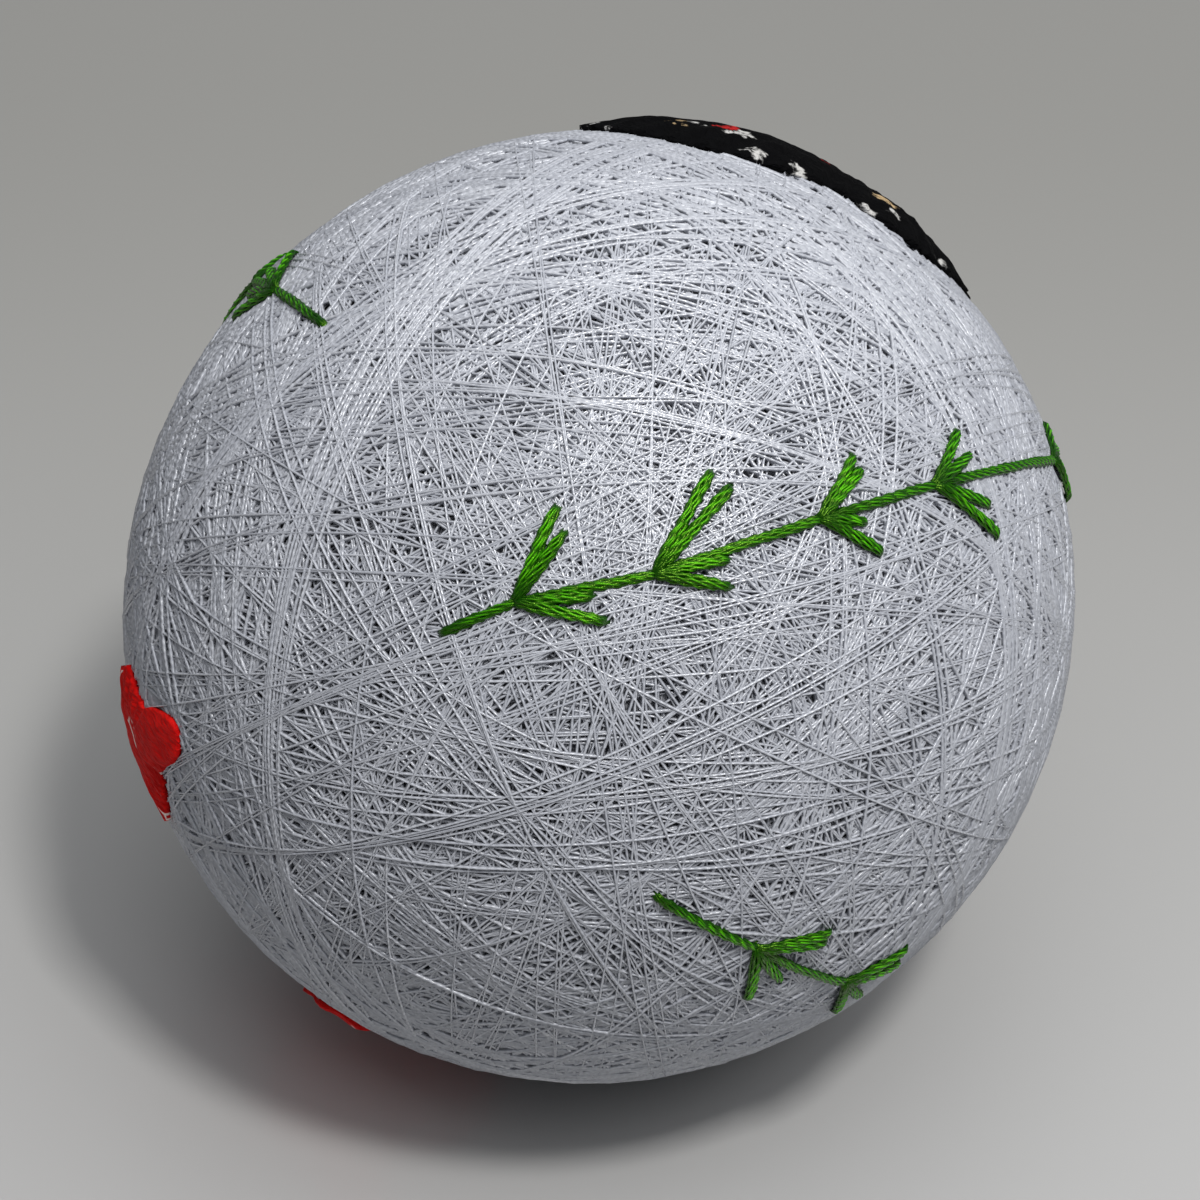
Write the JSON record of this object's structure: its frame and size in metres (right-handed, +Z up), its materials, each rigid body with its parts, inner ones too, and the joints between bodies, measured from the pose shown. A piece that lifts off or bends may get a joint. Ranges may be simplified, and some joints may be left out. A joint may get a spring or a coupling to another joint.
{
  "type": "temari ball",
  "caption": "Thread-wound decorative ball with floss sprigs stitched on its surface and padded crepe patches sewn on; rests on a small flat spot.",
  "frame": {"origin": "middle of the flat spot that the ball rests on", "axes": "+Z up, out of the surface it rests on; -Y towards the side shown in the picture, +X to that side's right"},
  "size_m": [0.0769, 0.0763, 0.0747],
  "materials": {
    "thread_grey": "wound sewing thread, soft sheen",
    "floss_green": "stranded embroidery floss, silky",
    "crepe_black": "crepe with a small scattered print",
    "crepe_red": "crepe with a few pale print lines"
  },
  "bodies": {
    "root": {"thread_ball": "thread_grey", "sprig_centre": "floss_green", "sprig_lower": "floss_green", "sprig_upper": "floss_green", "black_patch": "crepe_black", "red_patch_left": "crepe_red", "red_patch_under": "crepe_red"}
  },
  "joints": []
}
